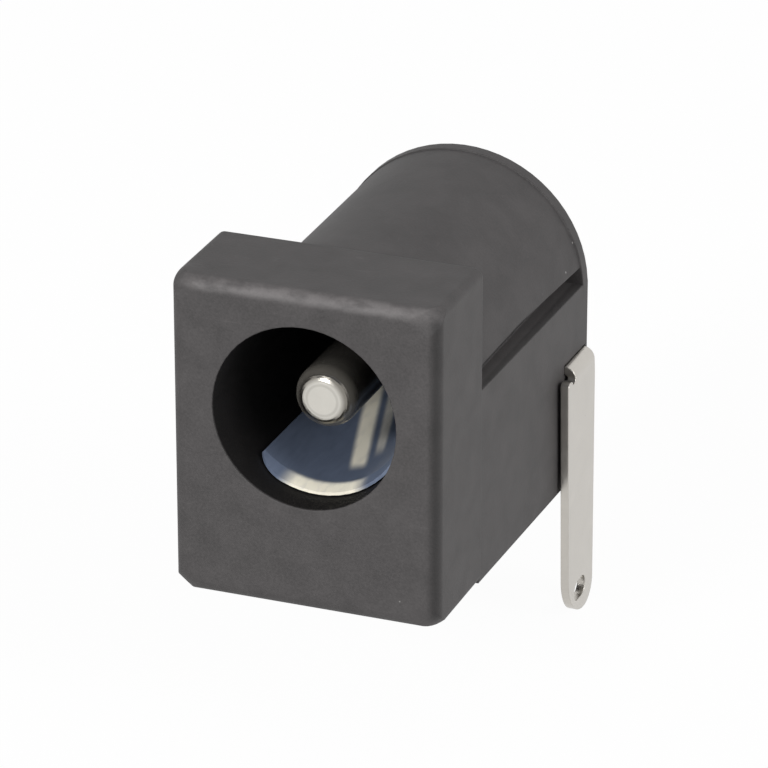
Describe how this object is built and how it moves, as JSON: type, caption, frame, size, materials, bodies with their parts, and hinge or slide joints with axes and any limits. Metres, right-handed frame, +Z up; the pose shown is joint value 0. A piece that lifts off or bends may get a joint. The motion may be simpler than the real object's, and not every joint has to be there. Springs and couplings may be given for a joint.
{
  "type": "dc barrel jack",
  "caption": "Board-mount dc power jack: a black housing with a round plug hole, a centre pin, a curved sleeve contact and a side switch terminal with an eyelet.",
  "frame": {"origin": "middle of the housing's underside: half way along its length, on the middle plane of the front flange, at the height where it seats on the board", "axes": "+Z up from the board; -Y out of the plug hole, so the plug enters along +Y; +X to the right seen from the front, towards the switch terminal"},
  "size_m": [0.0095, 0.0141, 0.0158],
  "materials": {
    "housing_plastic": "matte black moulded thermoplastic with a fine grain and scuffed edges",
    "pin_plating": "turned brass with polished nickel plating",
    "terminal_plating": "stamped brass with satin nickel plating and bright sheared edges",
    "spring_plating": "rolled spring bronze with bright nickel plating"
  },
  "bodies": {
    "root": {"housing": "housing_plastic", "centre_pin": "pin_plating", "pin_terminal": "terminal_plating", "sleeve_contact": "spring_plating", "switch_contact": "terminal_plating"}
  },
  "joints": []
}
